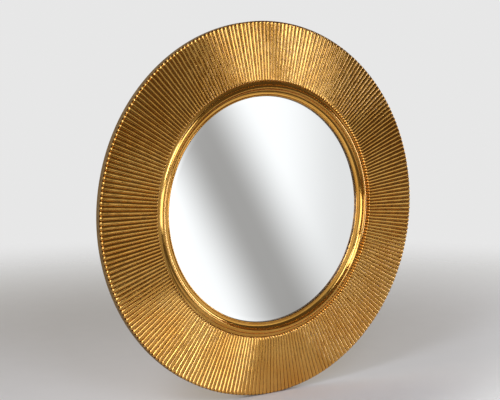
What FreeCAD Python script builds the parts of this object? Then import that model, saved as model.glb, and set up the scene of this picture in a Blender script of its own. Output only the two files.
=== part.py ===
import FreeCAD
import Part
import math
import os

# A round wall mirror in a wide gilded frame carved with radial reeds, in millimetres.
# The mirror faces -Y, +Z is up and +X is on the viewer's right.
# The origin is on the axis of the round frame, in the plane of the wall.

# Round outline of the frame, from the glass out
sight_radius = 334.0
moulding_width = 42.0
reed_length = 173.8
facing_thickness = 24.0
plywood_thickness = 9.0
plywood_inset = 20.0
facing_fit = 0.2

# Carved reeds of the facing
segment_count = 16
reeds_per_segment = 16
groove_depth_at_rim = 4.5
outer_end_round = 4.0
inner_end_round = 3.0

# Biscuits that join the facing segments
biscuit_length = 56.0
biscuit_width = 23.0
biscuit_thickness = 4.0
biscuit_fit = 0.1
biscuit_place_share = 0.5

# Sight moulding, from the reeds in to the glass
fillet_width = 9.0
fillet_drop = 5.5
bead_width = 11.0
bead_drop = 0.8
quirk_drop = 6.0
sight_bead_width = 5.5
sight_bead_drop = 13.4
cavetto_drop = 15.6
cavetto_hollow_shares = (0.38, 0.76)

# Glass, gasket, foam and panel
glass_lap = 12.0
glass_thickness = 5.0
bevel_width = 27.0
bevel_drop = 2.0
gasket_gap = 1.0
gasket_inset = 3.0
gasket_fit = 0.1
foam_thickness = 3.0
foam_inset = 2.0
edge_gap = 3.0
spacer_length = 24.0
spacer_fit = 0.1
spacer_count = 8

# Countersunk screws through the plywood
frame_screw_length = 20.0
frame_screw_shank = 4.0
frame_screw_head = 8.0
facing_row_shares = (0.18, 0.85)
moulding_screw_count = 8
screw_fit = 0.15
screw_tip = 3.0
drive_width = 1.1
drive_depth = 1.4
drive_span_share = 0.62

# Turn buttons that hold the panel
button_count = 8
button_pivot_margin = 11.0
button_width = 12.0
button_reach = 25.0
button_thickness = 1.5
button_play = 0.1
button_hole_play = 0.3
button_screw_shank = 3.5
button_screw_head = 7.5
button_screw_head_height = 2.2
button_screw_length = 9.0

# Strap hangers with their rings
hanger_angle = 50.0
hanger_place_share = 0.4
ring_wire = 3.4
ring_bar_half = 9.0
ring_corner = 4.5
ring_play = 0.3
strap_width = 15.0
strap_length = 38.0
strap_thickness = 1.5
hanger_screw_shank = 4.0
hanger_screw_head = 7.0
hanger_screw_head_height = 2.0
hanger_screw_length = 16.0
hanger_screw_shares = (0.28, 0.78)
hanger_hole_play = 0.2

# Wall bumpers
bumper_height = 7.0
bumper_diameter = 18.0
bumper_edge = 1.5
bumper_margin = 25.0
bumper_count = 4

# Every cut runs past the faces that it opens by this much
overrun = 2.0

# Planes of the layers, front to back
back_y = -bumper_height
facing_back_y = back_y - plywood_thickness
crest_y = facing_back_y - facing_thickness
glass_front_y = facing_back_y - glass_thickness
lip_back_y = glass_front_y - gasket_gap
panel_front_y = facing_back_y + foam_thickness

# Radii that follow from the outline
moulding_radius = sight_radius + moulding_width
reed_inner_radius = moulding_radius + facing_fit
frame_radius = reed_inner_radius + reed_length
glass_radius = sight_radius + glass_lap
opening_radius = glass_radius + edge_gap
plywood_radius = frame_radius - plywood_inset
facing_width = plywood_radius - reed_inner_radius
moulding_screw_radius = (opening_radius + moulding_radius) / 2
button_pivot_radius = opening_radius + button_pivot_margin
bumper_place_radius = plywood_radius - bumper_margin
hanger_radius = reed_inner_radius + facing_width * hanger_place_share
hanger_spread = hanger_radius * math.cos(math.radians(hanger_angle))
hanger_height = hanger_radius * math.sin(math.radians(hanger_angle))

full_turn = 360.0
segment_angle = full_turn / segment_count
reed_angle = segment_angle / reeds_per_segment
origin = FreeCAD.Vector(0, 0, 0)
to_wall = FreeCAD.Vector(0, 1, 0)
to_right = FreeCAD.Vector(1, 0, 0)


def section_point(radius, y):
    return FreeCAD.Vector(radius, y, 0)


def turned(shape, angle):
    """A copy turned about the frame's axis, from +X towards +Z."""
    copy = shape.copy()
    copy.rotate(origin, -to_wall, angle)
    return copy


def moved(shape, x, y, z):
    copy = shape.copy()
    copy.translate(FreeCAD.Vector(x, y, z))
    return copy


def polar(shape, angle, radius, y):
    """A copy moved out to a radius at an angle, without turning it."""
    turn = math.radians(angle)
    return moved(shape, radius * math.cos(turn), y, radius * math.sin(turn))


def even_angles(count, start):
    return [start + full_turn * number / count for number in range(count)]


def outline_face(start, moves):
    """A face bounded by lines (end,) and arcs (middle, end), back to its start."""
    edges = []
    here = start
    for move in moves:
        if len(move) == 2:
            edges.append(Part.Arc(here, move[0], move[1]).toShape())
        else:
            edges.append(Part.makeLine(here, move[0]))
        here = move[-1]
    return Part.Face(Part.Wire(edges))


def revolved(start, moves):
    return outline_face(start, moves).revolve(origin, to_wall, full_turn)


def rounded_corner(centre_radius, centre_y, round_radius, angle):
    """The middle of a corner's round, at an angle in the section."""
    turn = math.radians(angle)
    radius = centre_radius + round_radius * math.cos(turn)
    return section_point(radius, centre_y + round_radius * math.sin(turn))


def disc(radius, front_y, back_plane_y):
    return Part.makeCylinder(radius, back_plane_y - front_y, FreeCAD.Vector(0, front_y, 0), to_wall)


def washer(inner_radius, outer_radius, front_y, back_plane_y):
    hole = disc(inner_radius, front_y - overrun, back_plane_y + overrun)
    return disc(outer_radius, front_y, back_plane_y).cut(hole)


def reed_section(radius):
    """One reed cut across at a radius: a round top on straight sides, wider towards the rim."""
    half_width = radius * math.tan(math.radians(reed_angle / 2))
    groove_y = crest_y + groove_depth_at_rim * radius / frame_radius
    crest = FreeCAD.Vector(radius, crest_y, 0)
    low_groove = FreeCAD.Vector(radius, groove_y, -half_width)
    high_groove = FreeCAD.Vector(radius, groove_y, half_width)
    low_back = FreeCAD.Vector(radius, facing_back_y, -half_width)
    high_back = FreeCAD.Vector(radius, facing_back_y, half_width)
    top = Part.Arc(low_groove, crest, high_groove).toShape()
    sides = Part.makePolygon([high_groove, high_back, low_back, low_groove])
    return Part.Wire([top] + sides.Edges)


def facing_ring():
    """The turned blank of the facing, with both edges of its face rounded."""
    inner_round_radius = reed_inner_radius + inner_end_round
    outer_round_radius = frame_radius - outer_end_round
    inner_middle = rounded_corner(inner_round_radius, crest_y + inner_end_round, inner_end_round, 225)
    outer_middle = rounded_corner(outer_round_radius, crest_y + outer_end_round, outer_end_round, 315)
    start = section_point(reed_inner_radius, facing_back_y)
    moves = [
        (section_point(reed_inner_radius, crest_y + inner_end_round),),
        (inner_middle, section_point(inner_round_radius, crest_y)),
        (section_point(outer_round_radius, crest_y),),
        (outer_middle, section_point(frame_radius, crest_y + outer_end_round)),
        (section_point(frame_radius, facing_back_y),),
        (start,),
    ]
    return revolved(start, moves)


def biscuit(fit):
    """A lens-shaped biscuit along +X, midway between the grooves and the back of the facing."""
    place = reed_inner_radius + facing_width * biscuit_place_share
    half_length = biscuit_length / 2 + fit
    half_width = biscuit_width / 2 + fit
    front_y = (crest_y + groove_depth_at_rim + facing_back_y - biscuit_thickness) / 2 - fit
    inner = FreeCAD.Vector(place - half_length, front_y, 0)
    outer = FreeCAD.Vector(place + half_length, front_y, 0)
    upper = FreeCAD.Vector(place, front_y, half_width)
    lower = FreeCAD.Vector(place, front_y, -half_width)
    lens = outline_face(inner, [(upper, outer), (lower, inner)])
    return lens.extrude(to_wall * (biscuit_thickness + fit + fit))


def reed_segment():
    """One carved segment, centred on +X, with its biscuit slots and screw holes."""
    sections = [reed_section(reed_inner_radius - overrun), reed_section(frame_radius + overrun)]
    blank = turned(facing_ring(), full_turn / 2)
    reed = Part.makeLoft(sections, True, True).common(blank)
    first_angle = (reed_angle - segment_angle) / 2
    reeds = [turned(reed, first_angle + reed_angle * number) for number in range(reeds_per_segment)]
    carved = reeds[0].multiFuse(reeds[1:]).removeSplitter()
    slot = biscuit(biscuit_fit)
    holes = [screw_hole(0, radius) for radius in facing_row_radii()]
    return carved.cut([turned(slot, -segment_angle / 2), turned(slot, segment_angle / 2)] + holes)


def facing_row_radii():
    return [reed_inner_radius + facing_width * share for share in facing_row_shares]


def frame_screw_places():
    """Angle and radius of each countersunk screw: two in a segment and one ring in the moulding."""
    places = []
    for angle in even_angles(segment_count, segment_angle / 2):
        places += [(angle, radius) for radius in facing_row_radii()]
    half_step = full_turn / moulding_screw_count / 2
    places += [(angle, moulding_screw_radius) for angle in even_angles(moulding_screw_count, half_step)]
    return places


def cross_drive(head_diameter, face_y):
    """The crossed slots of a screw head, cut down from its face."""
    span = head_diameter * drive_span_share
    height = drive_depth + overrun
    corner = FreeCAD.Vector(-span / 2, face_y - drive_depth, -drive_width / 2)
    slot = Part.makeBox(span, height, drive_width, corner)
    across = slot.copy()
    across.rotate(origin, to_wall, 90)
    return slot.fuse(across)


def countersunk_screw():
    """A countersunk screw with its flat head at y = 0 and its point towards -Y."""
    head = frame_screw_head / 2
    shank = frame_screw_shank / 2
    start = section_point(0, 0)
    moves = [
        (section_point(head, 0),),
        (section_point(shank, shank - head),),
        (section_point(shank, screw_tip - frame_screw_length),),
        (section_point(0, -frame_screw_length),),
        (start,),
    ]
    return revolved(start, moves).cut(cross_drive(frame_screw_head, 0))


def pan_screw(head_diameter, head_height, shank_diameter, length):
    """A pan-head screw whose head sits on y = 0, with its point towards -Y."""
    head = head_diameter / 2
    shank = shank_diameter / 2
    brow = head_height / 2
    start = section_point(0, head_height)
    brow_middle = rounded_corner(head - brow, head_height - brow, brow, 45)
    moves = [
        (section_point(head - brow, head_height),),
        (brow_middle, section_point(head, head_height - brow)),
        (section_point(head, 0),),
        (section_point(shank, 0),),
        (section_point(shank, screw_tip - length),),
        (section_point(0, -length),),
        (start,),
    ]
    return revolved(start, moves).cut(cross_drive(head_diameter, head_height))


def screw_hole(angle, radius):
    """The countersunk hole of a frame screw, at the back of the plywood."""
    head = frame_screw_head / 2 + screw_fit
    shank = frame_screw_shank / 2 + screw_fit
    depth = frame_screw_length + screw_fit
    start = section_point(0, overrun)
    moves = [
        (section_point(head, overrun),),
        (section_point(head, 0),),
        (section_point(shank, shank - head),),
        (section_point(shank, -depth),),
        (section_point(0, -depth),),
        (start,),
    ]
    return polar(revolved(start, moves), angle, radius, back_y)


def straight_hole(shank_diameter, depth):
    """A straight hole from y = 0 towards -Y, open at its back."""
    return Part.makeCylinder(shank_diameter / 2 + screw_fit, depth + overrun, to_wall * overrun, -to_wall)


def hanger_places():
    return [("left", -hanger_spread), ("right", hanger_spread)]


def hanger_screw_places():
    """Where the hanger screws stand: x and z of each, two in a strap."""
    places = []
    for _, x in hanger_places():
        places += [(x, hanger_height - strap_length * share) for share in hanger_screw_shares]
    return places


def hanger_screw_holes():
    depth = hanger_screw_length - strap_thickness + screw_fit
    hole = straight_hole(hanger_screw_shank, depth)
    return [moved(hole, x, back_y, z) for x, z in hanger_screw_places()]


def sight_moulding():
    """The turned ring between the reeds and the glass: fillet, bead, cavetto and sight bead."""
    fillet_radius = moulding_radius - fillet_width
    quirk_radius = fillet_radius - bead_width
    sight_bead_radius = sight_radius + sight_bead_width
    hollow_radius = quirk_radius + (sight_bead_radius - quirk_radius) * cavetto_hollow_shares[0]
    hollow_y = crest_y + quirk_drop + (cavetto_drop - quirk_drop) * cavetto_hollow_shares[1]
    bead_crest = section_point((fillet_radius + quirk_radius) / 2, crest_y + bead_drop)
    sight_crest = section_point((sight_bead_radius + sight_radius) / 2, crest_y + sight_bead_drop)
    start = section_point(moulding_radius, facing_back_y)
    moves = [
        (section_point(moulding_radius, crest_y + fillet_drop),),
        (section_point(fillet_radius, crest_y + fillet_drop),),
        (bead_crest, section_point(quirk_radius, crest_y + quirk_drop)),
        (section_point(hollow_radius, hollow_y), section_point(sight_bead_radius, crest_y + cavetto_drop)),
        (sight_crest, section_point(sight_radius, crest_y + cavetto_drop)),
        (section_point(sight_radius, lip_back_y),),
        (section_point(opening_radius, lip_back_y),),
        (section_point(opening_radius, facing_back_y),),
        (start,),
    ]
    holes = [
        screw_hole(angle, radius)
        for angle, radius in frame_screw_places()
        if radius == moulding_screw_radius
    ]
    return revolved(start, moves).cut(holes)


def bevel_y(radius):
    """How far back the bevelled face of the glass lies at a radius."""
    return glass_front_y + bevel_drop * (radius - glass_radius + bevel_width) / bevel_width


def mirror_glass():
    start = section_point(0, facing_back_y)
    moves = [
        (section_point(glass_radius, facing_back_y),),
        (section_point(glass_radius, bevel_y(glass_radius)),),
        (section_point(glass_radius - bevel_width, glass_front_y),),
        (section_point(0, glass_front_y),),
        (start,),
    ]
    return revolved(start, moves)


def lip_gasket():
    """The soft wedge ring between the moulding's lip and the bevel of the glass."""
    inner = sight_radius + gasket_inset
    start = section_point(inner, lip_back_y)
    moves = [
        (section_point(glass_radius, lip_back_y),),
        (section_point(glass_radius, bevel_y(glass_radius) - gasket_fit),),
        (section_point(inner, bevel_y(inner) - gasket_fit),),
        (start,),
    ]
    return revolved(start, moves)


def edge_spacers():
    """Short arcs that keep the panel and the foam centred in the opening of the plywood."""
    band = washer(glass_radius + spacer_fit, opening_radius - spacer_fit, facing_back_y, back_y)
    corner = FreeCAD.Vector(sight_radius, facing_back_y, -spacer_length / 2)
    window = Part.makeBox(opening_radius - sight_radius, plywood_thickness, spacer_length, corner)
    spacer = band.common(window)
    half_step = full_turn / spacer_count / 2
    return Part.makeCompound([turned(spacer, angle) for angle in even_angles(spacer_count, half_step)])


def plywood_ring():
    ring = washer(opening_radius, plywood_radius, facing_back_y, back_y)
    holes = [screw_hole(angle, radius) for angle, radius in frame_screw_places()]
    holes += hanger_screw_holes()
    pivot = straight_hole(button_screw_shank, button_screw_length)
    pivot_y = back_y + button_thickness + button_play
    holes += [polar(pivot, angle, button_pivot_radius, pivot_y) for angle in even_angles(button_count, 0)]
    return ring.cut(holes)


def turn_button():
    """A stamped button, its pivot hole on +X at the pivot radius and its tip towards the axis."""
    half_width = button_width / 2
    inner = button_pivot_radius - button_reach + half_width
    outer = button_pivot_radius
    start = FreeCAD.Vector(inner, back_y, -half_width)
    moves = [
        (FreeCAD.Vector(outer, back_y, -half_width),),
        (FreeCAD.Vector(outer + half_width, back_y, 0), FreeCAD.Vector(outer, back_y, half_width)),
        (FreeCAD.Vector(inner, back_y, half_width),),
        (FreeCAD.Vector(inner - half_width, back_y, 0), start),
    ]
    plate = outline_face(start, moves).extrude(to_wall * button_thickness)
    hole_radius = button_screw_shank / 2 + button_hole_play
    foot = FreeCAD.Vector(outer, back_y - overrun, 0)
    hole = Part.makeCylinder(hole_radius, button_thickness + overrun + overrun, foot, to_wall)
    return plate.cut(hole)


def turn_button_screws():
    screw = pan_screw(button_screw_head, button_screw_head_height, button_screw_shank, button_screw_length)
    seat_y = back_y + button_thickness + button_play
    angles = even_angles(button_count, 0)
    return Part.makeCompound([polar(screw, angle, button_pivot_radius, seat_y) for angle in angles])


def eye_inner_radius():
    return ring_wire / 2 + ring_play


def eye_y():
    return back_y + eye_inner_radius() + strap_thickness


def hanger_strap():
    """A strap on the back of the plywood, rolled into an eye at its upper end, at x = 0."""
    half_width = strap_width / 2
    tail = strap_length - half_width
    start = FreeCAD.Vector(-half_width, back_y, 0)
    moves = [
        (FreeCAD.Vector(-half_width, back_y, -tail),),
        (FreeCAD.Vector(0, back_y, -strap_length), FreeCAD.Vector(half_width, back_y, -tail)),
        (FreeCAD.Vector(half_width, back_y, 0),),
        (start,),
    ]
    plate = outline_face(start, moves).extrude(to_wall * strap_thickness)
    foot = FreeCAD.Vector(-half_width, eye_y(), 0)
    eye = Part.makeCylinder(eye_inner_radius() + strap_thickness, strap_width, foot, to_right)
    bore_foot = foot - to_right * overrun
    bore = Part.makeCylinder(eye_inner_radius(), strap_width + overrun + overrun, bore_foot, to_right)
    strap = plate.fuse(eye).cut(bore).removeSplitter()
    hole_radius = hanger_screw_shank / 2 + hanger_hole_play
    hole_depth = strap_thickness + overrun + overrun
    holes = []
    for share in hanger_screw_shares:
        foot = FreeCAD.Vector(0, back_y - overrun, -strap_length * share)
        holes.append(Part.makeCylinder(hole_radius, hole_depth, foot, to_wall))
    return strap.cut(holes)


def hanger_ring():
    """A D-shaped wire ring whose straight bar lies in the eye, at x = 0, standing up."""
    half = ring_bar_half
    side = half + ring_corner
    bend = ring_corner * math.sqrt(0.5)
    plane_y = eye_y()
    bar_left = FreeCAD.Vector(-half, plane_y, 0)
    bar_right = FreeCAD.Vector(half, plane_y, 0)
    side_right = FreeCAD.Vector(side, plane_y, ring_corner)
    side_left = FreeCAD.Vector(-side, plane_y, ring_corner)
    top = FreeCAD.Vector(0, plane_y, ring_corner + side)
    corner_right = FreeCAD.Vector(half + bend, plane_y, ring_corner - bend)
    corner_left = FreeCAD.Vector(-half - bend, plane_y, ring_corner - bend)
    path = Part.Wire([
        Part.makeLine(bar_left, bar_right),
        Part.Arc(bar_right, corner_right, side_right).toShape(),
        Part.Arc(side_right, top, side_left).toShape(),
        Part.Arc(side_left, corner_left, bar_left).toShape(),
    ])
    wire = Part.Wire([Part.makeCircle(ring_wire / 2, bar_left, to_right)])
    return path.makePipeShell([wire], True, False)


def hanger_screws():
    screw = pan_screw(
        hanger_screw_head, hanger_screw_head_height, hanger_screw_shank, hanger_screw_length
    )
    seat_y = back_y + strap_thickness
    return Part.makeCompound([moved(screw, x, seat_y, z) for x, z in hanger_screw_places()])


def wall_bumper():
    """A round rubber bumper about y, from the plywood to the wall, with its rear edge bevelled."""
    radius = bumper_diameter / 2
    start = section_point(0, back_y)
    moves = [
        (section_point(radius, back_y),),
        (section_point(radius, -bumper_edge),),
        (section_point(radius - bumper_edge, 0),),
        (section_point(0, 0),),
        (start,),
    ]
    return revolved(start, moves)


def all_nodes():
    nodes = {}
    segment = reed_segment()
    strap_holes = hanger_screw_holes()
    for number, angle in enumerate(even_angles(segment_count, segment_angle / 2), start=1):
        nodes[f"reed_segment_{number:02d}"] = turned(segment, angle).cut(strap_holes)
    joint_angles = even_angles(segment_count, 0)
    nodes["segment_biscuits"] = Part.makeCompound([turned(biscuit(0), angle) for angle in joint_angles])
    nodes["sight_moulding"] = sight_moulding()
    nodes["lip_gasket"] = lip_gasket()
    nodes["mirror_glass"] = mirror_glass()
    nodes["foam_sheet"] = disc(glass_radius - foam_inset, facing_back_y, panel_front_y)
    nodes["back_panel"] = disc(glass_radius, panel_front_y, back_y)
    nodes["edge_spacers"] = edge_spacers()
    nodes["plywood_ring"] = plywood_ring()
    screw = countersunk_screw()
    screw_places = frame_screw_places()
    nodes["frame_screws"] = Part.makeCompound([polar(screw, *place, back_y) for place in screw_places])
    button = turn_button()
    for number, angle in enumerate(even_angles(button_count, 0), start=1):
        nodes[f"turn_button_{number}"] = turned(button, angle)
    nodes["turn_button_screws"] = turn_button_screws()
    for side, x in hanger_places():
        nodes[f"hanger_strap_{side}"] = moved(hanger_strap(), x, 0, hanger_height)
        nodes[f"hanger_ring_{side}"] = moved(hanger_ring(), x, 0, hanger_height)
    nodes["hanger_screws"] = hanger_screws()
    bumper_step = full_turn / bumper_count
    for number, angle in enumerate(even_angles(bumper_count, bumper_step / 2), start=1):
        nodes[f"wall_bumper_{number}"] = polar(wall_bumper(), angle, bumper_place_radius, 0)
    return nodes


os.makedirs("parts", exist_ok=True)
for node, shape in all_nodes().items():
    shape.exportStep(f"parts/{node}.step")
    print(node, len(shape.Solids), round(shape.Volume), shape.isValid())
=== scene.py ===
import math

import bmesh
import bpy
import numpy as np
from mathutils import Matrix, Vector


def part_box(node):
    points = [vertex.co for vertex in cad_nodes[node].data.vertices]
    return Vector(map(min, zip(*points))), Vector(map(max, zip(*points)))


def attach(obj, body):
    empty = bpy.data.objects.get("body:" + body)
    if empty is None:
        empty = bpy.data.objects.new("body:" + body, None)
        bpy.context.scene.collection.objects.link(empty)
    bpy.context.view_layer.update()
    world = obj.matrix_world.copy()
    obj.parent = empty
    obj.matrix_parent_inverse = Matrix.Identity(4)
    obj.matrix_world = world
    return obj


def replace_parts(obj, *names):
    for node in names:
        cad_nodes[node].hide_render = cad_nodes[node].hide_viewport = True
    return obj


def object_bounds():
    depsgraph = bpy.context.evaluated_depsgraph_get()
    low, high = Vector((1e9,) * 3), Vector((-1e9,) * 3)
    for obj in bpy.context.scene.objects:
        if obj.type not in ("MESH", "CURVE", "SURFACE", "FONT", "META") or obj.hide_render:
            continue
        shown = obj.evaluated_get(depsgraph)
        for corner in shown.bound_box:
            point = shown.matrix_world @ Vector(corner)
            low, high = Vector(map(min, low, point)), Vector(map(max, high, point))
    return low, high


# A round wall mirror in a reeded gilded frame, in metres.
# The carved reeds, the turned moulding and the glass are modelled here over their CAD nodes.
# Every other piece is its CAD node with a material of its own.

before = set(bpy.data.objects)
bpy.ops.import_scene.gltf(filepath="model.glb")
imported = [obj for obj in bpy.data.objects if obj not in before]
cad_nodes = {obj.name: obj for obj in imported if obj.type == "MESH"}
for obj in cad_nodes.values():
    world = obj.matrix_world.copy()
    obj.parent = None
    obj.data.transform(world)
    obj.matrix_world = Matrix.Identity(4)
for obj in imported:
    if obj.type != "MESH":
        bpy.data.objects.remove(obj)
cad_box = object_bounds()

# Sizes read from the frame
FRAME_RADIUS = cad_box[1].x
CREST_Y = cad_box[0].y
FACE_MIDDLE = Vector((0.0, CREST_Y, 0.0))
FACING_BACK_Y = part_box("reed_segment_01")[1].y
MOULDING_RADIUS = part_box("sight_moulding")[1].x
GLASS_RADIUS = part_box("mirror_glass")[1].x
GLASS_FRONT_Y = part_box("mirror_glass")[0].y
FLOOR_Z = cad_box[0].z

# Reeds
SEGMENT_COUNT = 16
REEDS_PER_SEGMENT = 16
COLUMNS_PER_REED = 10
BODY_STATIONS = 30
END_STATIONS = 7
FACING_FIT = 0.0002
GROOVE_DEPTH_AT_RIM = 0.0045
OUTER_END_ROUND = 0.0052
INNER_END_ROUND = 0.0055
OUTER_SCALLOP = 0.0022
INNER_SCALLOP = 0.0016
RIM_DROP = 0.0058

# Unevenness of the hand carving
REED_SEED = 41
CREST_UNEVEN = 0.0005
CREST_RIPPLE = 0.00016
RIPPLES_PER_REED = (2.0, 5.0)
GROOVE_WANDER_SHARE = 0.07
GROOVE_OFFSET_PART = 0.6
GROOVE_SWING_PART = 0.4
SWINGS_PER_GROOVE = (0.6, 1.8)
DEPTH_UNEVEN_SHARE = 0.12

# Moulding, from the reeds in to the glass, as drops behind the crest plane
MOULDING_WIDTH = 0.042
FILLET_WIDTH = 0.0085
FILLET_DROP = 0.0055
FILLET_FALL = 0.0010
BEAD_WIDTH = 0.0125
BEAD_DROP = 0.0008
BEAD_CREST_SHARE = 0.78
QUIRK_DROP = 0.006
SIGHT_BEAD_WIDTH = 0.0055
SIGHT_BEAD_DROP = 0.0134
CAVETTO_DROP = 0.0156
CAVETTO_HOLLOW_SHARES = (0.38, 0.76)
LIP_BACK_DROP = 0.018
OPENING_FIT = 0.003
# Reach of the darkening at the moulding's inner corners: toning and painted shade
CORNER_TONING_AND_SHADE_REACH = 0.0007

# Glass
BEVEL_WIDTH = 0.027
BEVEL_DROP = 0.002

# Fineness of the turned and carved pieces
ARC_POINTS = 12
LATHE_STEPS = 512
SHARP_ANGLE = math.radians(50.0)

# Order of the materials on the segments, the moulding and the glass
SEGMENT_GILDED, SEGMENT_RIM, SEGMENT_BARE = range(3)
MOULDING_GILDED, MOULDING_BARE = range(2)
GLASS_SILVERED, GLASS_EDGE, GLASS_BACK = range(3)

# Gilding
LEAF_COLOUR = (0.79, 0.425, 0.085)
LEAF_DEEP_COLOUR = (0.72, 0.34, 0.047)
BOLE_COLOUR = (0.55, 0.25, 0.055)
# The dark brown in the reeds' grooves and the moulding's corners is partly toning of the gilding and
# partly painted shade
GROOVE_TONING_AND_SHADE_COLOUR = (0.22, 0.10, 0.026)
TONING_AND_SHADE_DEPTHS = (0.58, 1.0)
TONING_AND_SHADE_UNEVEN = 0.12
TONING_AND_SHADE_ROUGHENS = 0.2
BURNISH_UNEVEN = 0.08
VARNISH_ROUGHNESS = 0.10

# Spans of a noise: its middle, most of it, and the patches and specks at its top
MIDDLE = (0.35, 0.65)
MOST = (0.3, 0.7)
PATCHES = (0.58, 0.74)
SPECKS = (0.6, 0.75)

# Inputs and output of the node that mixes colours
MIX_SHARE_INPUT = 0
MIX_COLOUR_INPUTS = (6, 7)
MIX_COLOUR_OUTPUT = 2

# Grain of wood, cork, foam, rubber and plating
PORES_PER_FIGURE = 9.0
CELLS_PER_GRIME = 6.0
CELL_ROUGHNESS_UNEVEN = 0.08
DRAWN_ROUGHNESS_UNEVEN = 0.12

# Backing
PLY_THICKNESS = 0.0015
PLY_SEAM_SHARES = (0.4, 0.6)
PLY_FACE_LEAST_NORMAL = 0.5
PRESS_MESH_PITCH = 0.0022

# Floor, which fades out at a reach from the middle that grows from front to back
FLOOR_COLOUR = (0.83, 0.78, 0.68)
FLOOR_GRAIN_COLOUR = (0.86, 0.81, 0.71)
FLOOR_RADIUS = 4.0
FLOOR_CORNERS = 96
FLOOR_GAP = 0.0005
FLOOR_REACH_IN_FRONT = 0.80
FLOOR_REACH_BEHIND = 3.8
FLOOR_GROWTH_Y = (-0.6, 0.6)
FLOOR_FADE_SHARES = (0.28, 1.0)

# Room: a pale card straight in front, dim around it, and pale behind
CARD_COLOUR = (0.45, 0.45, 0.455)
CARD_EDGE = (-0.99, -0.87)
ROOM_COLOUR = (0.10, 0.085, 0.07)
BACKDROP_COLOUR = (0.80, 0.80, 0.80)
BACKDROP_EDGE = (0.10, 0.60)

# Lamps by name: azimuth and elevation in degrees, width, height and radiance
LAMP_DISTANCE = 3.0
DAYLIGHT_COLOUR = (0.90, 1.00, 1.30)
DAYLIGHT_LAMPS = {
    "high_left_softbox": (-60.0, 30.0, 0.8, 1.3, 8.8),
    "low_left_softbox": (-45.0, 0.0, 2.2, 1.2, 3.3),
    "high_front_softbox": (-20.0, 30.0, 0.8, 1.3, 4.0),
    "right_softbox": (85.0, 6.0, 0.8, 2.0, 5.0),
}
GLASS_LAMP_COLOUR = (0.97, 1.00, 1.03)
GLASS_LAMP = (35.5, -7.0, 2.1, 2.1, 1.0)

# Grey band on the lamp that the glass reflects, in shares of the lamp's face
BAND_SLOPE = 0.58
BAND_PLACE = 0.683
BAND_EDGE = (0.02, 0.28)
BAND_LIGHT_SHARE = 0.29
FALL_OFF_EDGE = (0.5, 0.8)
FALL_OFF_LIGHT_SHARE = 0.72

# Camera of the photograph, 500 x 400 pixels
CAMERA_AZIMUTH = -34.8
CAMERA_ELEVATION = 5.6
CAMERA_DISTANCE = 2.94
CAMERA_AIM = Vector((-0.0755, CREST_Y, 0.0337))
FOCAL_PIXELS = 1000.0
IMAGE_WIDTH = 500.0
SENSOR_WIDTH = 36.0


def link_or_set(tree, socket, value):
    """Links an input to another node's output, or sets it to a plain value."""
    if isinstance(value, bpy.types.NodeSocket):
        tree.links.new(value, socket)
    else:
        socket.default_value = value


def add_node(tree, kind, settings=None, inputs=None):
    """A new node with its settings, and its inputs linked or set."""
    made = tree.nodes.new(kind)
    for name, value in (settings or {}).items():
        setattr(made, name, value)
    for key, value in (inputs or {}).items():
        link_or_set(tree, made.inputs[key], value)
    return made


def set_inputs(tree, made, **inputs):
    """Links or sets the inputs of a node that is already there, by name with _ for a space."""
    for name, value in inputs.items():
        link_or_set(tree, made.inputs[name.replace("_", " ")], value)


def new_material(name):
    made = bpy.data.materials.new(name)
    made.use_nodes = True
    return made, made.node_tree, made.node_tree.nodes["Principled BSDF"]


def place(tree):
    """The point on the surface, in metres along the piece's own axes."""
    return add_node(tree, "ShaderNodeTexCoord").outputs["Object"]


def stretched(tree, scale):
    inputs = {"Vector": place(tree), "Scale": scale}
    return add_node(tree, "ShaderNodeMapping", inputs=inputs).outputs["Vector"]


def parts(tree, vector):
    """The X, Y and Z of a vector."""
    return add_node(tree, "ShaderNodeSeparateXYZ", inputs={"Vector": vector}).outputs


def noise(tree, vector, scale, detail, roughness=0.55, distortion=0.0):
    inputs = {
        "Vector": vector,
        "Scale": scale,
        "Detail": detail,
        "Roughness": roughness,
        "Distortion": distortion,
    }
    return add_node(tree, "ShaderNodeTexNoise", inputs=inputs).outputs["Fac"]


def spread(tree, value, span, to=(0.0, 1.0), easing="LINEAR"):
    """A span of a value spread over another span, and held at its ends."""
    inputs = {
        "Value": value,
        "From Min": span[0],
        "From Max": span[1],
        "To Min": to[0],
        "To Max": to[1],
    }
    settings = {"interpolation_type": easing}
    return add_node(tree, "ShaderNodeMapRange", settings, inputs).outputs["Result"]


def eased(tree, value, span, to=(0.0, 1.0)):
    """The same with soft ends."""
    return spread(tree, value, span, to, "SMOOTHSTEP")


def blend_colours(tree, share, first, second):
    """A share of the second colour over the first, each a socket or a plain colour."""
    made = add_node(tree, "ShaderNodeMix", {"data_type": "RGBA"}, {MIX_SHARE_INPUT: share})
    for number, colour in zip(MIX_COLOUR_INPUTS, (first, second)):
        if not isinstance(colour, bpy.types.NodeSocket):
            colour = (*colour, 1.0)
        link_or_set(tree, made.inputs[number], colour)
    return made.outputs[MIX_COLOUR_OUTPUT]


def calculate(tree, operation, first, second=0.0):
    made = add_node(tree, "ShaderNodeMath", {"operation": operation}, {0: first, 1: second})
    return made.outputs["Value"]


def bump(tree, height, distance, strength):
    inputs = {"Height": height, "Distance": distance, "Strength": strength}
    return add_node(tree, "ShaderNodeBump", inputs=inputs).outputs["Normal"]


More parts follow.
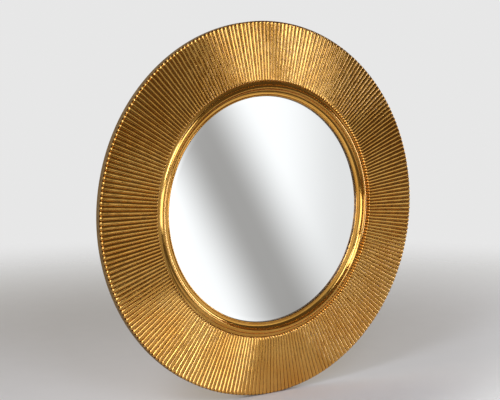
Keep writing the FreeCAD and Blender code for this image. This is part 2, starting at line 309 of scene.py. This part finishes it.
def gold_leaf(name, burnish, wear, unevenness, varnish):
    """Gold leaf over red-brown bole, darkened where the mesh marks grooves and corners: partly toning,
    partly painted shade.
    """
    made, tree, shader = new_material(name)
    here = place(tree)
    cloud = noise(tree, here, scale=9.0, detail=3.0)
    fine = noise(tree, here, scale=60.0, detail=1.0, roughness=0.5)
    beaten = noise(tree, here, scale=45.0, detail=1.0)
    hollow = add_node(tree, "ShaderNodeAttribute", {"attribute_name": "hollow"}).outputs["Fac"]
    leaf = blend_colours(tree, spread(tree, cloud, MIDDLE), LEAF_COLOUR, LEAF_DEEP_COLOUR)
    leaf = blend_colours(tree, spread(tree, fine, PATCHES, (0.0, wear)), leaf, BOLE_COLOUR)
    # Darker brown towards groove bottoms and inner corners: toning in part, painted shade in part
    uneven_toning_and_shade = spread(tree, fine, MOST, (-TONING_AND_SHADE_UNEVEN, TONING_AND_SHADE_UNEVEN))
    toning_and_shade = spread(tree, calculate(tree, "ADD", hollow, uneven_toning_and_shade), TONING_AND_SHADE_DEPTHS)
    colour = blend_colours(tree, toning_and_shade, leaf, GROOVE_TONING_AND_SHADE_COLOUR)
    rough = spread(tree, fine, MOST, (burnish, burnish + BURNISH_UNEVEN))
    rough = calculate(tree, "ADD", rough, calculate(tree, "MULTIPLY", toning_and_shade, TONING_AND_SHADE_ROUGHENS))
    normal = bump(tree, beaten, distance=0.0004, strength=unevenness)
    set_inputs(tree, shader, Base_Color=colour, Metallic=1.0, Roughness=rough, Normal=normal)
    set_inputs(tree, shader, Coat_Weight=varnish, Coat_Roughness=VARNISH_ROUGHNESS)
    return made


def toned_rim():
    """The frame's outer side: bronze paint over gesso, mottled and dull."""
    dark_bronze = (0.18, 0.10, 0.032)
    bronze = (0.27, 0.16, 0.055)
    bright_speck = (0.30, 0.20, 0.09)
    made, tree, shader = new_material("toned_rim")
    here = place(tree)
    mottle = noise(tree, here, scale=60.0, detail=6.0, roughness=0.65)
    speck = noise(tree, here, scale=380.0, detail=3.0)
    colour = blend_colours(tree, spread(tree, mottle, MIDDLE), dark_bronze, bronze)
    colour = blend_colours(tree, spread(tree, speck, SPECKS, (0.0, 0.5)), colour, bright_speck)
    rough = spread(tree, mottle, MOST, (0.55, 0.75))
    normal = bump(tree, calculate(tree, "ADD", mottle, speck), distance=0.0004, strength=0.4)
    set_inputs(tree, shader, Base_Color=colour, Metallic=0.25, Roughness=rough, Normal=normal)
    set_inputs(tree, shader, Specular_IOR_Level=0.06)
    return made


def bare_wood(name, light, dark, grain_scale):
    """Planed wood with its grain along x."""
    made, tree, shader = new_material(name)
    along = stretched(tree, (0.12, 1.0, 1.0))
    figure = noise(tree, along, grain_scale, detail=8.0, roughness=0.6, distortion=0.6)
    pore = noise(tree, along, grain_scale * PORES_PER_FIGURE, detail=3.0, roughness=0.6)
    colour = blend_colours(tree, spread(tree, figure, MIDDLE), light, dark)
    colour = blend_colours(tree, spread(tree, pore, SPECKS, (0.0, 0.35)), colour, dark)
    rough = spread(tree, pore, MOST, (0.5, 0.68))
    normal = bump(tree, calculate(tree, "ADD", figure, pore), distance=0.0003, strength=0.3)
    set_inputs(tree, shader, Base_Color=colour, Roughness=rough, Normal=normal)
    return made


def clouded(name, first, second, scale, detail, roughness, metallic):
    """A smooth stuff whose tone and roughness drift a little: silvering, cut glass or paint."""
    made, tree, shader = new_material(name)
    cloud = noise(tree, place(tree), scale, detail)
    colour = blend_colours(tree, cloud, first, second)
    rough = spread(tree, cloud, MOST, roughness)
    set_inputs(tree, shader, Base_Color=colour, Metallic=metallic, Roughness=rough)
    return made


def birch_plywood():
    """Rotary-cut face veneer, and the plies in turn on the edges."""
    face_light = (0.66, 0.49, 0.31)
    face_dark = (0.54, 0.37, 0.21)
    pore_brown = (0.36, 0.23, 0.12)
    long_ply = (0.58, 0.42, 0.26)
    cross_ply = (0.30, 0.19, 0.10)
    made, tree, shader = new_material("birch_plywood")
    along = stretched(tree, (1.0, 1.0, 0.10))
    figure = noise(tree, along, scale=26.0, detail=6.0, roughness=0.6, distortion=1.2)
    fibres = stretched(tree, (1.0, 1.0, 0.05))
    pore = noise(tree, fibres, scale=420.0, detail=3.0, roughness=0.6)
    face = blend_colours(tree, spread(tree, figure, MIDDLE), face_light, face_dark)
    face = blend_colours(tree, spread(tree, pore, PATCHES, (0.0, 0.4)), face, pore_brown)
    layer = calculate(tree, "PINGPONG", parts(tree, place(tree))["Y"], PLY_THICKNESS)
    seam = [share * PLY_THICKNESS for share in PLY_SEAM_SHARES]
    plies = blend_colours(tree, spread(tree, layer, seam), long_ply, cross_ply)
    normal = add_node(tree, "ShaderNodeNewGeometry").outputs["True Normal"]
    facing = calculate(tree, "ABSOLUTE", parts(tree, normal)["Y"])
    is_face = calculate(tree, "GREATER_THAN", facing, PLY_FACE_LEAST_NORMAL)
    colour = blend_colours(tree, is_face, plies, face)
    rough = spread(tree, pore, MOST, (0.5, 0.66))
    relief = bump(tree, calculate(tree, "ADD", figure, pore), distance=0.0003, strength=0.25)
    set_inputs(tree, shader, Base_Color=colour, Roughness=rough, Normal=relief)
    return made


def press_line(tree, along):
    """A wave of the press mesh along one direction."""
    turns = calculate(tree, "MULTIPLY", along, 2.0 * math.pi / PRESS_MESH_PITCH)
    return calculate(tree, "SINE", turns)


def hardboard():
    """Brown fibreboard with the mesh of its press on the back."""
    dark_fibre = (0.19, 0.105, 0.05)
    light_fibre = (0.31, 0.19, 0.10)
    stain_brown = (0.17, 0.095, 0.045)
    mesh_brown = (0.10, 0.055, 0.025)
    made, tree, shader = new_material("hardboard")
    here = place(tree)
    fibres = stretched(tree, (1.0, 1.0, 0.3))
    fibre = noise(tree, fibres, scale=300.0, detail=6.0, roughness=0.7, distortion=0.8)
    stain = noise(tree, here, scale=5.0, detail=4.0)
    spot = parts(tree, here)
    weave = calculate(tree, "MULTIPLY", press_line(tree, spot["X"]), press_line(tree, spot["Z"]))
    colour = blend_colours(tree, spread(tree, fibre, MOST), dark_fibre, light_fibre)
    stained = spread(tree, stain, (0.4, 0.7), (0.0, 0.35))
    colour = blend_colours(tree, stained, colour, stain_brown)
    pressed = spread(tree, weave, (-0.6, 0.9), (0.0, 0.28))
    colour = blend_colours(tree, pressed, colour, mesh_brown)
    rough = spread(tree, fibre, MOST, (0.62, 0.8))
    relief = bump(tree, calculate(tree, "ADD", weave, fibre), distance=0.0003, strength=0.35)
    set_inputs(tree, shader, Base_Color=colour, Roughness=rough, Normal=relief)
    return made


def grained(name, light, dark, scale, depth, roughness):
    """A granular stuff such as cork, foam or rubber: cells of two tones with seams between."""
    made, tree, shader = new_material(name)
    here = place(tree)
    cell = add_node(tree, "ShaderNodeTexVoronoi", inputs={"Vector": here, "Scale": scale})
    tone = add_node(tree, "ShaderNodeSeparateColor", inputs={0: cell.outputs["Color"]}).outputs[0]
    grime = noise(tree, here, scale / CELLS_PER_GRIME, detail=4.0)
    colour = blend_colours(tree, calculate(tree, "MULTIPLY", tone, grime), light, dark)
    least_rough = roughness - CELL_ROUGHNESS_UNEVEN
    most_rough = roughness + CELL_ROUGHNESS_UNEVEN
    rough = spread(tree, grime, MOST, (least_rough, most_rough))
    relief = bump(tree, cell.outputs["Distance"], depth, strength=0.4)
    set_inputs(tree, shader, Base_Color=colour, Roughness=rough, Normal=relief)
    return made


def plated_steel(name, bright, dull, roughness, brush):
    """Plated steel with clouds in its plating and drawn lines along the axis of brush's least value."""
    made, tree, shader = new_material(name)
    cloud = noise(tree, place(tree), scale=160.0, detail=4.0, roughness=0.6)
    drawn = noise(tree, stretched(tree, brush), scale=900.0, detail=3.0, roughness=0.6)
    colour = blend_colours(tree, spread(tree, cloud, MIDDLE), bright, dull)
    rough = spread(tree, drawn, MOST, (roughness, roughness + DRAWN_ROUGHNESS_UNEVEN))
    clouding = spread(tree, cloud, (0.5, 0.8), (0.0, 0.1))
    rough = calculate(tree, "ADD", rough, clouding)
    relief = bump(tree, drawn, distance=0.00004, strength=0.4)
    set_inputs(tree, shader, Base_Color=colour, Metallic=1.0, Roughness=rough, Normal=relief)
    return made


def add_object(name, data):
    made = bpy.data.objects.new(name, data)
    bpy.context.scene.collection.objects.link(made)
    return made


def mesh_piece(name, points, faces, kinds, materials, body, hollow=None, flat_faces=()):
    """A closed mesh piece: smooth but at sharp edges, riding on a body, with a finish slot."""
    mesh = bpy.data.meshes.new(name)
    mesh.from_pydata([tuple(p) for p in points], [], faces)
    for material in materials:
        mesh.materials.append(material)
    mesh.polygons.foreach_set("material_index", kinds)
    smooth = np.ones(len(faces), bool)
    smooth[list(flat_faces)] = False
    mesh.polygons.foreach_set("use_smooth", smooth)
    if hollow is not None:
        layer = mesh.attributes.new("hollow", "FLOAT", "POINT")
        layer.data.foreach_set("value", np.asarray(hollow, np.float32))
    shell = bmesh.new()
    shell.from_mesh(mesh)
    bmesh.ops.recalc_face_normals(shell, faces=shell.faces)
    shell.to_mesh(mesh)
    shell.free()
    mesh.set_sharp_from_angle(angle=SHARP_ANGLE)
    piece = add_object(name, mesh)
    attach(piece, body)
    return piece


def radial_stations(inner, outer):
    """Radius and drop of each station along a reed, for arrays of its inner and outer ends."""
    turn = np.linspace(0.0, math.pi / 2, END_STATIONS)[:, None]
    inner_flat = inner + INNER_END_ROUND
    outer_flat = outer - OUTER_END_ROUND
    body_share = np.linspace(0.0, 1.0, BODY_STATIONS + 2)[1:-1, None]
    radius = np.concatenate([
        inner_flat - INNER_END_ROUND * np.sin(turn[::-1]),
        inner_flat + (outer_flat - inner_flat) * body_share,
        outer_flat + OUTER_END_ROUND * np.sin(turn),
    ])
    drop = np.concatenate([
        INNER_END_ROUND * (1.0 - np.cos(turn[::-1])),
        0.0 * body_share,
        OUTER_END_ROUND * (1.0 - np.cos(turn)),
    ])
    return radius, drop


def segment_faces(stations, columns):
    """Faces over a segment's rows: the reeds' stations, the rim's edge, then the back's two edges."""
    rim_edge = stations * columns
    back_inner = rim_edge + columns
    back_outer = back_inner + columns
    faces = []
    kinds = []
    for row in range(stations):
        low = row * columns
        high = low + columns
        for c in range(columns - 1):
            faces.append((low + c, low + c + 1, high + c + 1, high + c))
            kinds.append(SEGMENT_RIM if high == rim_edge else SEGMENT_GILDED)
    for c in range(columns - 1):
        faces.append((rim_edge + c, rim_edge + c + 1, back_outer + c + 1, back_outer + c))
        kinds.append(SEGMENT_RIM)
        faces.append((c + 1, c, back_inner + c, back_inner + c + 1))
        kinds.append(SEGMENT_RIM)
        faces.append((back_inner + c + 1, back_inner + c, back_outer + c, back_outer + c + 1))
        kinds.append(SEGMENT_BARE)
    for c in (0, columns - 1):
        joint = [row * columns + c for row in range(stations + 1)]
        faces.append((*joint, back_outer + c, back_inner + c))
        kinds.append(SEGMENT_BARE)
    return faces, kinds


def carved_segment(number, draws):
    """One segment of hand-carved reeds, with straight joints, uneven grooves and finger-tip ends."""
    pitch = 2.0 * math.pi / (SEGMENT_COUNT * REEDS_PER_SEGMENT)
    middle = 2.0 * math.pi * (number - 0.5) / SEGMENT_COUNT
    column = np.arange(REEDS_PER_SEGMENT * COLUMNS_PER_REED + 1)
    reed = np.minimum(column // COLUMNS_PER_REED, REEDS_PER_SEGMENT - 1)
    across = (column - reed * COLUMNS_PER_REED) / COLUMNS_PER_REED
    side = 2.0 * across - 1.0

    shortness = CREST_UNEVEN * draws.random(REEDS_PER_SEGMENT)[reed] * (1.0 - side**2)
    outer = FRAME_RADIUS - OUTER_SCALLOP * side**2 - shortness
    inner = MOULDING_RADIUS + FACING_FIT + INNER_SCALLOP * side**2
    radius, end_drop = radial_stations(inner, outer)
    along = (radius - MOULDING_RADIUS) / (FRAME_RADIUS - MOULDING_RADIUS)

    groove_count = REEDS_PER_SEGMENT + 1
    held = np.ones(groove_count)
    held[[0, -1]] = 0.0
    offset = held * draws.uniform(-1.0, 1.0, groove_count)
    swing = held * draws.uniform(-1.0, 1.0, groove_count)
    phase = draws.uniform(0.0, 2.0 * math.pi, groove_count)
    waves = draws.uniform(*SWINGS_PER_GROOVE, groove_count)

    def groove_angle(groove):
        wave = np.sin(2.0 * math.pi * waves[groove] * along + phase[groove])
        wander = GROOVE_OFFSET_PART * offset[groove] + GROOVE_SWING_PART * swing[groove] * wave
        return pitch * (groove - REEDS_PER_SEGMENT / 2 + GROOVE_WANDER_SHARE * wander)

    low_angle = groove_angle(reed)
    high_angle = groove_angle(reed + 1)
    angle = middle + low_angle + (high_angle - low_angle) * across
    half_width = radius * (high_angle - low_angle) / 2.0

    depth_share = 1.0 - DEPTH_UNEVEN_SHARE * draws.random(REEDS_PER_SEGMENT)[reed]
    depth = GROOVE_DEPTH_AT_RIM * radius / FRAME_RADIUS * depth_share
    curve = (half_width**2 + depth**2) / (2.0 * depth)
    fall = curve - np.sqrt(curve**2 - (half_width * side) ** 2)
    crest_drop = CREST_UNEVEN * draws.random(REEDS_PER_SEGMENT)[reed]
    ripple_waves = draws.uniform(*RIPPLES_PER_REED, REEDS_PER_SEGMENT)[reed]
    ripple_phase = draws.uniform(0.0, 2.0 * math.pi, REEDS_PER_SEGMENT)[reed]
    ripple = CREST_RIPPLE * (1.0 + np.sin(2.0 * math.pi * ripple_waves * along + ripple_phase))
    at_joint = np.isin(column, (0, column[-1]))
    uneven_drop = np.where(at_joint, 0.0, crest_drop + ripple) * (1.0 - side**2)
    top_y = CREST_Y + end_drop + fall + uneven_drop

    stations, columns = radius.shape
    rim = np.full((1, columns), FRAME_RADIUS)
    rim_y = np.full((1, columns), CREST_Y + RIM_DROP)
    back_y = np.full((2, columns), FACING_BACK_Y)
    rows_radius = np.concatenate([radius, rim, radius[:1], rim])
    rows_angle = np.concatenate([angle, angle[-1:], angle[:1], angle[-1:]])
    rows_y = np.concatenate([top_y, rim_y, back_y])
    rows = [rows_radius * np.cos(rows_angle), rows_y, rows_radius * np.sin(rows_angle)]
    points = np.stack(rows, -1).reshape(-1, 3)
    # Share of the groove's depth, which darkens the gold towards the groove bottoms as toning and
    # painted shade
    hollow = np.concatenate([fall / depth, 0.0 * rim, 0.0 * back_y]).ravel()
    return points, *segment_faces(stations, columns), hollow


def arc_through(start, middle, end):
    """Points of the arc from start through middle to end, without its start."""
    (ax, ay), (bx, by), (cx, cy) = start, middle, end
    d = 2.0 * (ax * (by - cy) + bx * (cy - ay) + cx * (ay - by))
    a2, b2, c2 = ax * ax + ay * ay, bx * bx + by * by, cx * cx + cy * cy
    ux = (a2 * (by - cy) + b2 * (cy - ay) + c2 * (ay - by)) / d
    uy = (a2 * (cx - bx) + b2 * (ax - cx) + c2 * (bx - ax)) / d
    radius = math.hypot(ax - ux, ay - uy)
    first, through, last = (math.atan2(y - uy, x - ux) for x, y in (start, middle, end))
    forward = (last - first) % (2.0 * math.pi)
    if (through - first) % (2.0 * math.pi) > forward:
        forward -= 2.0 * math.pi
    turns = [first + forward * n / ARC_POINTS for n in range(1, ARC_POINTS + 1)]
    return [(ux + radius * math.cos(t), uy + radius * math.sin(t)) for t in turns]


def lathe(profile):
    """Points and faces of a closed profile of (radius, y) turned about the frame's axis."""
    turn = np.arange(LATHE_STEPS) * 2.0 * math.pi / LATHE_STEPS
    radius = np.array([p[0] for p in profile])[:, None]
    y = np.array([p[1] for p in profile])[:, None] + 0.0 * turn
    points = np.stack([radius * np.cos(turn), y, radius * np.sin(turn)], -1).reshape(-1, 3)
    faces = []
    for ring in range(len(profile)):
        here = ring * LATHE_STEPS
        there = (ring + 1) % len(profile) * LATHE_STEPS
        for step in range(LATHE_STEPS):
            after = (step + 1) % LATHE_STEPS
            faces.append((here + step, there + step, there + after, here + after))
    return points, faces


def bead_middles(crest):
    """Points halfway round the bead's long outer side and its short inner side."""
    rise = FILLET_DROP - BEAD_DROP
    run = BEAD_WIDTH * BEAD_CREST_SHARE
    curve = (run**2 + rise**2) / (2.0 * rise)
    half_turn = math.asin(run / curve) / 2.0
    outer_radius = crest[0] + curve * math.sin(half_turn)
    outer_y = crest[1] + curve * (1.0 - math.cos(half_turn))
    diagonal = math.sqrt(0.5)
    inner_radius = crest[0] - (BEAD_WIDTH - run) * diagonal
    inner_y = crest[1] + (QUIRK_DROP - BEAD_DROP) * (1.0 - diagonal)
    return (outer_radius, outer_y), (inner_radius, inner_y)


def turned_moulding(leaf, wood):
    """The moulding's profile turned about the axis: gilded on its face, bare at its joints and back."""
    sight = MOULDING_RADIUS - MOULDING_WIDTH
    fillet = MOULDING_RADIUS - FILLET_WIDTH
    quirk = fillet - BEAD_WIDTH
    sight_bead = sight + SIGHT_BEAD_WIDTH
    opening = GLASS_RADIUS + OPENING_FIT
    hollow_radius = quirk + (sight_bead - quirk) * CAVETTO_HOLLOW_SHARES[0]
    hollow_drop = QUIRK_DROP + (CAVETTO_DROP - QUIRK_DROP) * CAVETTO_HOLLOW_SHARES[1]
    fillet_edge = (fillet, CREST_Y + FILLET_DROP)
    bead_crest = (fillet + (quirk - fillet) * BEAD_CREST_SHARE, CREST_Y + BEAD_DROP)
    bead_outer, bead_inner = bead_middles(bead_crest)
    quirk_edge = (quirk, CREST_Y + QUIRK_DROP)
    cavetto_foot = (sight_bead, CREST_Y + CAVETTO_DROP)
    sight_crest = ((sight_bead + sight) / 2, CREST_Y + SIGHT_BEAD_DROP)
    sight_edge = (sight, CREST_Y + CAVETTO_DROP)
    lip_back = (sight, CREST_Y + LIP_BACK_DROP)
    face = [
        (MOULDING_RADIUS, CREST_Y + FILLET_DROP + FILLET_FALL),
        ((MOULDING_RADIUS + fillet) / 2, CREST_Y + FILLET_DROP + FILLET_FALL / 2),
        fillet_edge,
        *arc_through(fillet_edge, bead_outer, bead_crest),
        *arc_through(bead_crest, bead_inner, quirk_edge),
        *arc_through(quirk_edge, (hollow_radius, CREST_Y + hollow_drop), cavetto_foot),
        *arc_through(cavetto_foot, sight_crest, sight_edge),
    ]
    back = [lip_back, (opening, CREST_Y + LIP_BACK_DROP), (opening, FACING_BACK_Y)]
    profile = [(MOULDING_RADIUS, FACING_BACK_Y), *face, *back]
    ring_kinds = [MOULDING_BARE] + [MOULDING_GILDED] * len(face) + [MOULDING_BARE] * len(back)
    # Nearness to the inner corners, which darkens the gold there as toning and painted shade
    corners = [fillet_edge, quirk_edge, cavetto_foot, sight_edge, lip_back]
    nearest = [min(math.dist(p, corner) for corner in corners) for p in profile]
    hollow = [math.exp(-distance / CORNER_TONING_AND_SHADE_REACH) for distance in nearest]
    points, faces = lathe(profile)
    return mesh_piece(
        "sight_moulding_turned", points, faces, np.repeat(ring_kinds, LATHE_STEPS),
        [leaf, wood], "frame", np.repeat(hollow, LATHE_STEPS),
    )


def bevelled_glass(materials):
    """A disc with a bevelled rim, silvered in front, cut at its edge and painted behind."""
    profile = [
        (GLASS_RADIUS - BEVEL_WIDTH, GLASS_FRONT_Y),
        (GLASS_RADIUS, GLASS_FRONT_Y + BEVEL_DROP),
        (GLASS_RADIUS, FACING_BACK_Y),
    ]
    points, faces = lathe(profile)
    faces = faces[: 2 * LATHE_STEPS]
    kinds = [GLASS_SILVERED] * LATHE_STEPS + [GLASS_EDGE] * LATHE_STEPS
    discs = (len(faces), len(faces) + 1)
    faces.append(tuple(range(LATHE_STEPS)))
    kinds.append(GLASS_SILVERED)
    faces.append(tuple(range(2 * LATHE_STEPS, 3 * LATHE_STEPS)))
    kinds.append(GLASS_BACK)
    return mesh_piece(
        "mirror_glass_bevelled", points, faces, kinds,
        materials, "frame", flat_faces=discs,
    )


# Carved, turned and bevelled pieces
reed_leaf = gold_leaf("reed_leaf", burnish=0.15, wear=0.20, unevenness=0.10, varnish=0.5)
moulding_leaf = gold_leaf("moulding_leaf", burnish=0.12, wear=0.0, unevenness=0.0, varnish=0.4)
lime_wood = bare_wood("lime_wood", (0.62, 0.46, 0.29), (0.45, 0.30, 0.17), grain_scale=30.0)
segment_materials = [reed_leaf, toned_rim(), lime_wood]
silvering = clouded(
    "silvered_glass", (0.925, 0.935, 0.93), (0.945, 0.95, 0.945),
    scale=6.0, detail=3.0, roughness=(0.0, 0.012), metallic=1.0,
)
cut_edge = clouded(
    "glass_edge", (0.10, 0.24, 0.19), (0.20, 0.36, 0.30),
    scale=300.0, detail=3.0, roughness=(0.2, 0.4), metallic=0.0,
)
backing_paint = clouded(
    "backing_paint", (0.13, 0.15, 0.15), (0.19, 0.20, 0.20),
    scale=40.0, detail=4.0, roughness=(0.4, 0.55), metallic=0.0,
)
reed_draws = np.random.RandomState(REED_SEED)
for number in range(1, SEGMENT_COUNT + 1):
    points, faces, kinds, hollow = carved_segment(number, reed_draws)
    name = f"reed_segment_{number:02d}"
    piece = mesh_piece(
        f"{name}_carved", points, faces, kinds,
        segment_materials, "frame", hollow,
    )
    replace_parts(piece, name)
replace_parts(turned_moulding(moulding_leaf, lime_wood), "sight_moulding")
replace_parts(bevelled_glass([silvering, cut_edge, backing_paint]), "mirror_glass")

# Finishes of the CAD nodes that are shown as they are
yellow_zinc = plated_steel(
    "yellow_zinc", (0.78, 0.62, 0.30), (0.66, 0.50, 0.36),
    roughness=0.26, brush=(1.0, 1.0, 0.2),
)
zinc_plate = plated_steel(
    "zinc_plate", (0.66, 0.68, 0.71), (0.52, 0.54, 0.58),
    roughness=0.30, brush=(0.1, 1.0, 1.0),
)
nickel_plate = plated_steel(
    "nickel_plate", (0.72, 0.69, 0.63), (0.60, 0.57, 0.51),
    roughness=0.20, brush=(1.0, 1.0, 0.1),
)
beech_wood = bare_wood("beech_wood", (0.60, 0.38, 0.22), (0.46, 0.26, 0.14), grain_scale=60.0)
cork = grained(
    "cork", (0.52, 0.33, 0.18), (0.24, 0.13, 0.06),
    scale=700.0, depth=0.0004, roughness=0.8,
)
foam = grained(
    "foam", (0.60, 0.61, 0.62), (0.44, 0.45, 0.47),
    scale=900.0, depth=0.0003, roughness=0.85,
)
gasket_rubber = grained(
    "gasket_rubber", (0.022, 0.022, 0.023), (0.04, 0.04, 0.042),
    scale=1500.0, depth=0.0001, roughness=0.6,
)
bumper_rubber = grained(
    "bumper_rubber", (0.045, 0.042, 0.04), (0.085, 0.08, 0.075),
    scale=1200.0, depth=0.0001, roughness=0.55,
)

# Finish and material slot by the start of a node's name, the first that fits
node_finishes = (
    ("plywood_ring", birch_plywood(), "plywood"),
    ("back_panel", hardboard(), "fibreboard"),
    ("segment_biscuits", beech_wood, "beech"),
    ("edge_spacers", cork, "cork"),
    ("foam_sheet", foam, "foam"),
    ("lip_gasket", gasket_rubber, "gasket"),
    ("wall_bumper_", bumper_rubber, "rubber"),
    ("frame_screws", yellow_zinc, "screw_steel"),
    ("hanger_screws", yellow_zinc, "screw_steel"),
    ("turn_button_screws", yellow_zinc, "screw_steel"),
    ("turn_button_", zinc_plate, "button_steel"),
    ("hanger_strap_", nickel_plate, "hanger_steel"),
    ("hanger_ring_", nickel_plate, "hanger_steel"),
)
for name, node in cad_nodes.items():
    for beginning, finish, slot in node_finishes:
        if name.startswith(beginning):
            node.data.materials.clear()
            node.data.materials.append(finish)
            break


def pale_floor():
    """A matt pale floor that fades out around the mirror, sooner in front than behind."""
    made, tree, shader = new_material("pale_floor")
    here = place(tree)
    grain = noise(tree, here, scale=12.0, detail=3.0)
    colour = blend_colours(tree, grain, FLOOR_COLOUR, FLOOR_GRAIN_COLOUR)
    set_inputs(tree, shader, Base_Color=colour, Roughness=0.9)
    length = add_node(tree, "ShaderNodeVectorMath", {"operation": "LENGTH"}, {0: here})
    growth = (FLOOR_REACH_IN_FRONT, FLOOR_REACH_BEHIND)
    reach = eased(tree, parts(tree, here)["Y"], FLOOR_GROWTH_Y, growth)
    share = calculate(tree, "DIVIDE", length.outputs["Value"], reach)
    fade = eased(tree, share, FLOOR_FADE_SHARES)
    clear = add_node(tree, "ShaderNodeBsdfTransparent").outputs[0]
    inputs = {0: fade, 1: shader.outputs[0], 2: clear}
    mixed = add_node(tree, "ShaderNodeMixShader", inputs=inputs).outputs[0]
    tree.links.new(mixed, tree.nodes["Material Output"].inputs["Surface"])
    return made


def make_floor():
    bpy.ops.mesh.primitive_circle_add(
        vertices=FLOOR_CORNERS, radius=FLOOR_RADIUS, fill_type="NGON",
        location=(0, 0, FLOOR_Z - FLOOR_GAP),
    )
    floor = bpy.context.object
    floor.name = "floor"
    floor.data.materials.append(pale_floor())


def make_world():
    """Pale behind the mirror and straight in front of it, dim around."""
    world = bpy.data.worlds.new("studio")
    bpy.context.scene.world = world
    world.use_nodes = True
    tree = world.node_tree
    y = parts(tree, add_node(tree, "ShaderNodeTexCoord").outputs["Generated"])["Y"]
    front = blend_colours(tree, eased(tree, y, CARD_EDGE), CARD_COLOUR, ROOM_COLOUR)
    colour = blend_colours(tree, eased(tree, y, BACKDROP_EDGE), front, BACKDROP_COLOUR)
    tree.links.new(colour, tree.nodes["Background"].inputs["Color"])


def outward(azimuth, elevation):
    """A unit vector out from the mirror, with azimuth 0 straight in front and more to the right."""
    a = math.radians(azimuth)
    e = math.radians(elevation)
    return Vector((math.sin(a) * math.cos(e), -math.cos(a) * math.cos(e), math.sin(e)))


def softbox(name, colour, azimuth, elevation, width, height, radiance):
    """A rectangular lamp that faces the mirror, with the radiance that its face shows."""
    lamp = bpy.data.lights.new(name, "AREA")
    lamp.shape = "RECTANGLE"
    lamp.size = width
    lamp.size_y = height
    lamp.energy = radiance * math.pi * width * height
    lamp.color = colour
    holder = add_object(name, lamp)
    away = outward(azimuth, elevation)
    holder.location = FACE_MIDDLE + away * LAMP_DISTANCE
    holder.rotation_mode = "QUATERNION"
    holder.rotation_quaternion = (-away).to_track_quat("-Z", "Y")
    holder.visible_camera = False
    return lamp


def shade_with_band(lamp):
    """A slanting grey band across the lamp's face, which the glass reflects."""
    lamp.use_nodes = True
    tree = lamp.node_tree
    spot = parts(tree, add_node(tree, "ShaderNodeNewGeometry").outputs["Parametric"])
    slant = calculate(tree, "MULTIPLY", spot["Y"], BAND_SLOPE)
    across = calculate(tree, "ADD", spot["X"], slant)
    from_band = calculate(tree, "ABSOLUTE", calculate(tree, "SUBTRACT", across, BAND_PLACE))
    light = eased(tree, from_band, BAND_EDGE, (BAND_LIGHT_SHARE, 1.0))
    falling = eased(tree, spot["X"], FALL_OFF_EDGE, (1.0, FALL_OFF_LIGHT_SHARE))
    light = calculate(tree, "MULTIPLY", light, falling)
    tree.links.new(light, tree.nodes["Emission"].inputs["Strength"])


def make_camera():
    data = bpy.data.cameras.new("camera")
    data.sensor_width = SENSOR_WIDTH
    data.lens = FOCAL_PIXELS * SENSOR_WIDTH / IMAGE_WIDTH
    camera = add_object("camera", data)
    camera.location = FACE_MIDDLE + outward(CAMERA_AZIMUTH, CAMERA_ELEVATION) * CAMERA_DISTANCE
    camera.rotation_mode = "QUATERNION"
    camera.rotation_quaternion = (CAMERA_AIM - camera.location).to_track_quat("-Z", "Y")
    bpy.context.scene.camera = camera


# Stage
make_floor()
make_world()
for name, lamp_values in DAYLIGHT_LAMPS.items():
    softbox(name, DAYLIGHT_COLOUR, *lamp_values)
shade_with_band(softbox("mirror_softbox", GLASS_LAMP_COLOUR, *GLASS_LAMP))
make_camera()

bpy.context.scene.view_settings.view_transform = "Standard"
